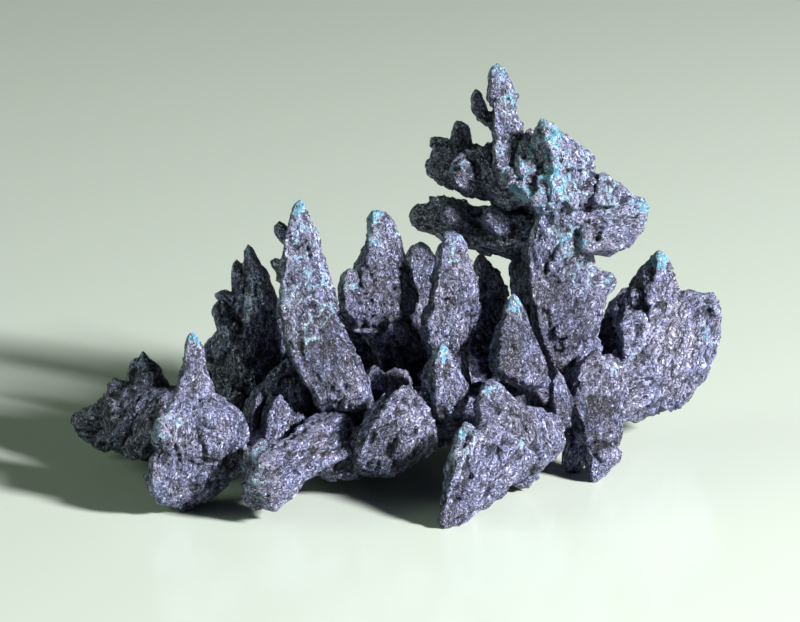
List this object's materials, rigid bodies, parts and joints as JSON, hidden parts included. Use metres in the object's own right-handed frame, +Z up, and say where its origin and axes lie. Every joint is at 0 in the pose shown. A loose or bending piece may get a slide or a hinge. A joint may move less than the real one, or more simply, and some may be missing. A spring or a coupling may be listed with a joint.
{
  "type": "mineral specimen",
  "caption": "Free-standing ridge of intergrown rough spiky acanthite crystals with a branching tower at its back and a broad lobe at its right end; a display specimen that rests on worn points",
  "frame": {"origin": "middle of the footprint of the cluster's bounding box, at the height of the surface it stands on", "axes": "+X to the right along the ridge, towards the lobe; +Y away from the viewer, towards the back of the tower; +Z up along the spire"},
  "size_m": [0.0666, 0.034, 0.0414],
  "materials": {
    "acanthite": "dull metallic lead-grey natural crystal faces with a fine hackly grain, near black in the hollows, pale blue-green crust on the tips"
  },
  "bodies": {
    "root": {"acanthite_cluster": "acanthite"}
  },
  "joints": []
}
